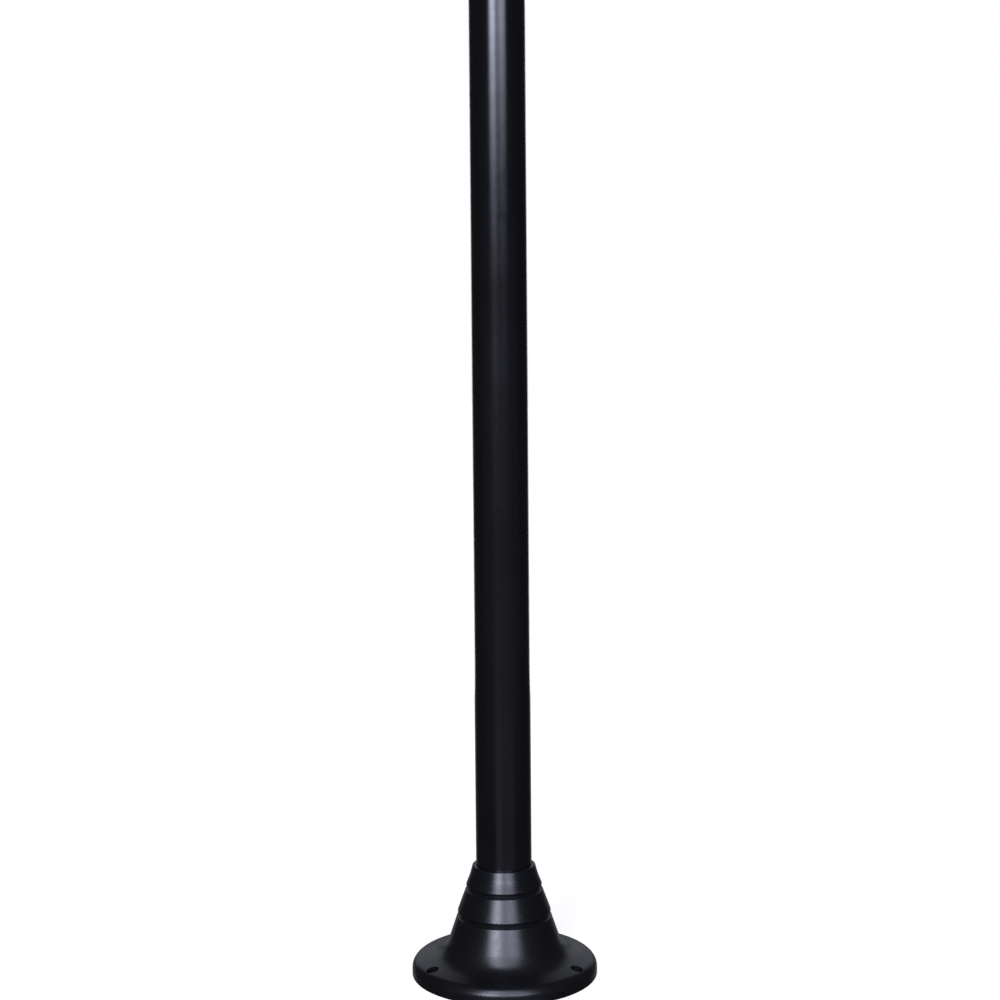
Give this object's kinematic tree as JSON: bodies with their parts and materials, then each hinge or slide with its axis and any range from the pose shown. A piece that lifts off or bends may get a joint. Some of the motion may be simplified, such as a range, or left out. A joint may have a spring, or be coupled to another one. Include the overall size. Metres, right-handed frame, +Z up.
{
  "type": "street clock",
  "caption": "Street clock: bell-shaped bolted base, round black post and a drum head with a glazed dial, hands and a hinged bezel door on each side.",
  "frame": {"origin": "ground level on the axis of the post, at the centre of the base's underside", "axes": "+Z up along the post, the front dial faces -Y, +X to the right of a person who reads the front dial"},
  "size_m": [0.462, 0.2, 2.34],
  "materials": {
    "base_black": "satin black powder coat over cast iron",
    "post_black": "satin black powder coat on steel tube",
    "head_black": "satin black powder coat on aluminium",
    "zinc_steel": "zinc-plated steel",
    "stainless": "brushed stainless steel",
    "dial_white": "off-white stoved enamel",
    "hand_black": "black enamel",
    "clear_glass": "clear toughened glass",
    "seal_rubber": "matte black rubber",
    "gear_brass": "turned and cut brass",
    "plate_aluminium": "milled aluminium",
    "box_plastic": "moulded dark plastic",
    "cell_cover": "printed cell sleeve"
  },
  "bodies": {
    "case": {"base_casting": "base_black", "base_tie_bolt": "zinc_steel", "base_tie_washer": "zinc_steel", "batteries": "cell_cover", "case_saddle": "head_black", "case_shell": "head_black", "centre_bushes": "gear_brass", "centre_frame": "plate_aluminium", "dial_front": "dial_white", "dial_rear": "dial_white", "dial_rings": "plate_aluminium", "dial_screws": "stainless", "door_gaskets": "seal_rubber", "finial_nut": "zinc_steel", "finial_saddle": "head_black", "finial_spire": "head_black", "finial_stud": "zinc_steel", "hinge_brackets": "head_black", "hinge_pins": "stainless", "hinge_screws": "zinc_steel", "motion_studs": "zinc_steel", "movement_box_front": "box_plastic", "movement_box_rear": "box_plastic", "movement_pillars": "zinc_steel", "movement_plate_front": "plate_aluminium", "movement_plate_rear": "plate_aluminium", "movement_screws": "zinc_steel", "neck_bolts": "stainless", "neck_casting": "base_black", "neck_grub_screws": "stainless", "post_foot_plug": "zinc_steel", "post_tube": "post_black", "saddle_bolts": "zinc_steel", "stud_clips": "zinc_steel"},
    "door_front": {"bezel_front": "head_black", "glass_front": "clear_glass", "glass_gasket_front": "seal_rubber", "glass_clips_front": "zinc_steel", "clip_screws_front": "stainless"},
    "latch_front": {"latch_handle_front": "stainless", "latch_cam_front": "zinc_steel"},
    "minute_front": {"minute_arbor_front": "gear_brass", "minute_hand_front": "hand_black", "hand_nut_front": "gear_brass"},
    "motion_front": {"motion_wheel_front": "gear_brass"},
    "hour_front": {"hour_wheel_front": "gear_brass", "hour_hand_front": "hand_black"},
    "door_rear": {"bezel_rear": "head_black", "glass_rear": "clear_glass", "glass_gasket_rear": "seal_rubber", "glass_clips_rear": "zinc_steel", "clip_screws_rear": "stainless"},
    "latch_rear": {"latch_handle_rear": "stainless", "latch_cam_rear": "zinc_steel"},
    "minute_rear": {"minute_arbor_rear": "gear_brass", "minute_hand_rear": "hand_black", "hand_nut_rear": "gear_brass"},
    "motion_rear": {"motion_wheel_rear": "gear_brass"},
    "hour_rear": {"hour_wheel_rear": "gear_brass", "hour_hand_rear": "hand_black"}
  },
  "joints": [
    {"name": "minute_front", "type": "hinge", "parent": "case", "child": "minute_front", "pos_m": [0, -0.05, 2.01], "axis": [0, 1, 0], "continuous": true},
    {"name": "motion_front", "type": "hinge", "parent": "case", "child": "motion_front", "pos_m": [0, -0.038, 1.98], "axis": [0, 1, 0], "continuous": true},
    {"name": "hour_front", "type": "hinge", "parent": "case", "child": "hour_front", "pos_m": [0, -0.045, 2.01], "axis": [0, 1, 0], "continuous": true},
    {"name": "door_front", "type": "hinge", "parent": "case", "child": "door_front", "pos_m": [-0.224, -0.062, 2.01], "axis": [0, 0, -1], "range_deg": [0, 110]},
    {"name": "latch_front", "type": "hinge", "parent": "door_front", "child": "latch_front", "pos_m": [0.187, -0.07, 2.01], "axis": [0, 1, 0], "range_deg": [0, 90]},
    {"name": "minute_rear", "type": "hinge", "parent": "case", "child": "minute_rear", "pos_m": [0, 0.05, 2.01], "axis": [0, -1, 0], "continuous": true},
    {"name": "motion_rear", "type": "hinge", "parent": "case", "child": "motion_rear", "pos_m": [0, 0.038, 1.98], "axis": [0, -1, 0], "continuous": true},
    {"name": "hour_rear", "type": "hinge", "parent": "case", "child": "hour_rear", "pos_m": [0, 0.045, 2.01], "axis": [0, -1, 0], "continuous": true},
    {"name": "door_rear", "type": "hinge", "parent": "case", "child": "door_rear", "pos_m": [0.224, 0.062, 2.01], "axis": [0, 0, -1], "range_deg": [0, 110]},
    {"name": "latch_rear", "type": "hinge", "parent": "door_rear", "child": "latch_rear", "pos_m": [-0.187, 0.07, 2.01], "axis": [0, -1, 0], "range_deg": [0, 90]}
  ],
  "couplings": [
    {"joint": "motion_front", "follows": "minute_front", "ratio": -0.33333},
    {"joint": "hour_front", "follows": "minute_front", "ratio": 0.083333},
    {"joint": "motion_rear", "follows": "minute_rear", "ratio": -0.33333},
    {"joint": "hour_rear", "follows": "minute_rear", "ratio": 0.083333}
  ]
}
